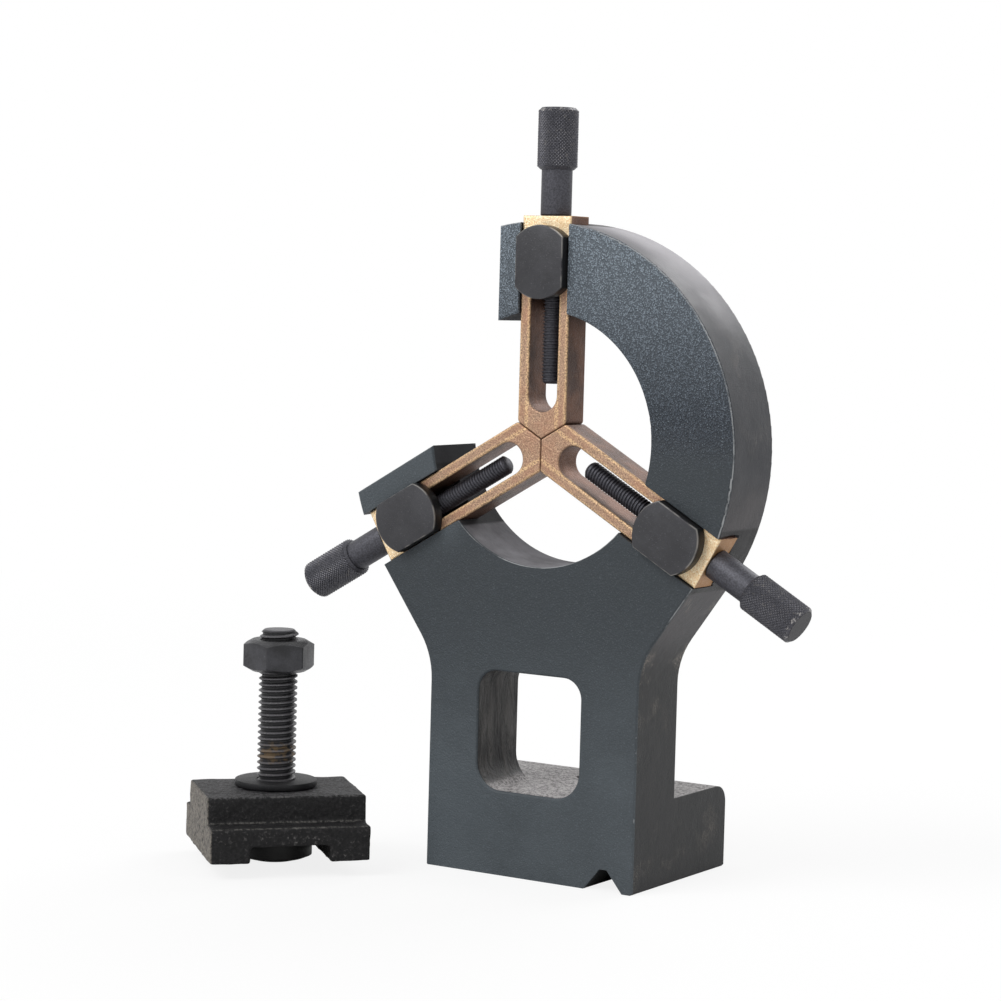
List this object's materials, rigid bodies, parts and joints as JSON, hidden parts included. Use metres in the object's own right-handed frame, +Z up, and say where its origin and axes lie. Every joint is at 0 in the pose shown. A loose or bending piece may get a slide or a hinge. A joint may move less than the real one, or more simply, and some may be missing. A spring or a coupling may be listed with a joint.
{
  "type": "steady rest",
  "caption": "Open-sided lathe steady rest: a cast ring on a grooved foot, slotted bronze jaws moved by knurled screws, and a separate stepped clamp block that pulls up under the bed.",
  "frame": {"origin": "axis of the stud hole in the plane of the foot's seat", "axes": "+Z up along the stud hole, Y parallel to the work axis with the jaws facing -Y, +X towards the vee groove"},
  "size_m": [0.1323, 0.0805, 0.1571],
  "materials": {
    "casting": "hammered slate paint over cast iron",
    "jaws": "cast bronze, lightly oxidised",
    "black_steel": "black oxide",
    "clamp_iron": "rough black casting"
  },
  "bodies": {
    "rest": {"frame": "casting", "top_jaw_bolt": "black_steel", "top_washer": "black_steel", "top_nut": "black_steel", "right_jaw_bolt": "black_steel", "right_washer": "black_steel", "right_nut": "black_steel", "left_jaw_bolt": "black_steel", "left_washer": "black_steel", "left_nut": "black_steel", "clamp_block": "clamp_iron", "clamp_bolt": "black_steel", "clamp_washer": "black_steel", "clamp_nut": "black_steel"},
    "top_jaw": {"top_jaw": "jaws"},
    "top_screw": {"top_screw": "black_steel", "top_screw_collar": "black_steel"},
    "right_jaw": {"right_jaw": "jaws"},
    "right_screw": {"right_screw": "black_steel", "right_screw_collar": "black_steel"},
    "left_jaw": {"left_jaw": "jaws"},
    "left_screw": {"left_screw": "black_steel", "left_screw_collar": "black_steel"}
  },
  "joints": [
    {"name": "top_jaw_slide", "type": "slide", "parent": "rest", "child": "top_jaw", "axis": [0, 0, 1], "range_m": [0, 0.024]},
    {"name": "top_screw_turn", "type": "hinge", "parent": "top_jaw", "child": "top_screw", "pos_m": [0, -0.0232, 0.14], "axis": [0, 0, 1], "range_deg": [0, 12353]},
    {"name": "right_jaw_slide", "type": "slide", "parent": "rest", "child": "right_jaw", "axis": [0.866, 0, -0.5], "range_m": [0, 0.024]},
    {"name": "right_screw_turn", "type": "hinge", "parent": "right_jaw", "child": "right_screw", "pos_m": [0.0433, -0.0232, 0.065], "axis": [0.866, 0, -0.5], "range_deg": [0, 12353]},
    {"name": "left_jaw_slide", "type": "slide", "parent": "rest", "child": "left_jaw", "axis": [-0.866, 0, -0.5], "range_m": [0, 0.024]},
    {"name": "left_screw_turn", "type": "hinge", "parent": "left_jaw", "child": "left_screw", "pos_m": [-0.0433, -0.0232, 0.065], "axis": [-0.866, 0, -0.5], "range_deg": [0, 12353]}
  ],
  "couplings": [
    {"joint": "top_screw_turn", "follows": "top_jaw_slide", "rad_per_m": 8976},
    {"joint": "right_screw_turn", "follows": "right_jaw_slide", "rad_per_m": 8976},
    {"joint": "left_screw_turn", "follows": "left_jaw_slide", "rad_per_m": 8976}
  ]
}
